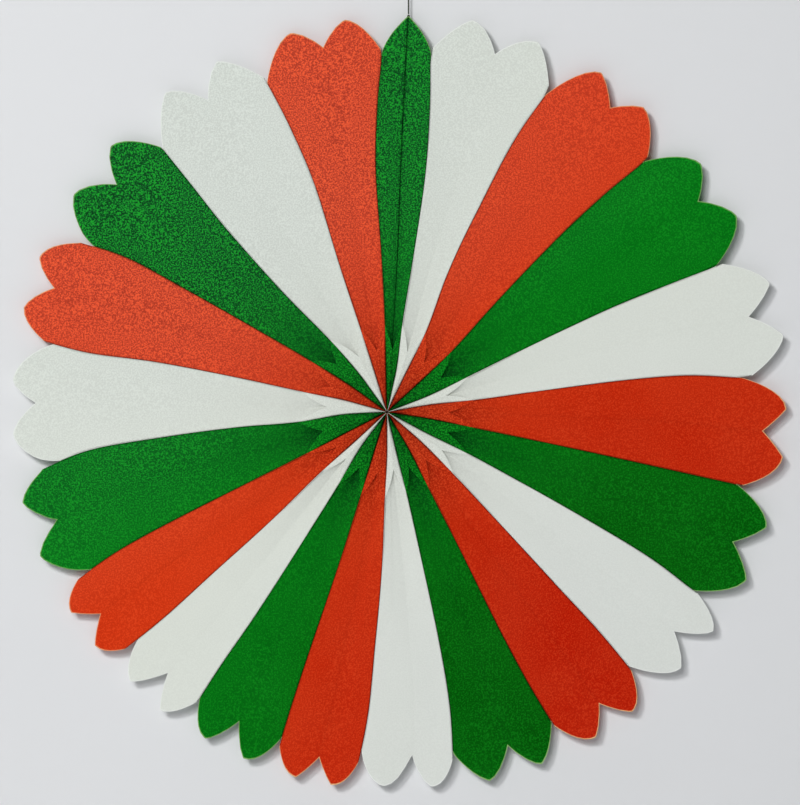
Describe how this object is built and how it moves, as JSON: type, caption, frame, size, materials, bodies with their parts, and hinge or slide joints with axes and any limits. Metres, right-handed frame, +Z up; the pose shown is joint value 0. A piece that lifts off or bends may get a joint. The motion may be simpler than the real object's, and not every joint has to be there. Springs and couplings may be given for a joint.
{
  "type": "paper fan rosette",
  "caption": "Hanging rosette of folded paper petals in red, white and green, with a star of chevron creases at its hub and a knotted thread loop above.",
  "frame": {"origin": "Where a nail carries the hanging loop, on the middle line of the thread.", "axes": "+X points right and +Z points up for someone who looks at the front of the hung fan. +Y points from the front of the fan to its back, towards the wall."},
  "size_m": [0.4015, 0.0086, 0.452],
  "materials": {
    "green_paper": "matte coloured craft paper",
    "white_paper": "matte white craft paper",
    "red_paper": "matte coloured craft paper",
    "dark_thread": "twisted cotton thread",
    "tie_thread": "twisted cotton thread"
  },
  "bodies": {
    "root": {"centre_tie": "tie_thread", "petal_02_white": "white_paper", "petal_03_red": "red_paper", "petal_04_green": "green_paper", "petal_05_white": "white_paper", "petal_06_red": "red_paper", "petal_07_green": "green_paper", "petal_08_white": "white_paper", "petal_09_red": "red_paper", "petal_10_green": "green_paper", "petal_11_white": "white_paper", "petal_12_red": "red_paper", "petal_13_green": "green_paper", "petal_14_white": "white_paper", "petal_15_red": "red_paper", "petal_16_green": "green_paper", "petal_17_white": "white_paper", "petal_18_red": "red_paper", "petal_19_green": "green_paper", "petal_20_white": "white_paper", "petal_21_red": "red_paper", "closing_leaf_left": "green_paper", "closing_leaf_right": "green_paper", "tip_tie": "dark_thread", "hanging_thread": "dark_thread", "hanging_loop": "dark_thread"}
  },
  "joints": []
}
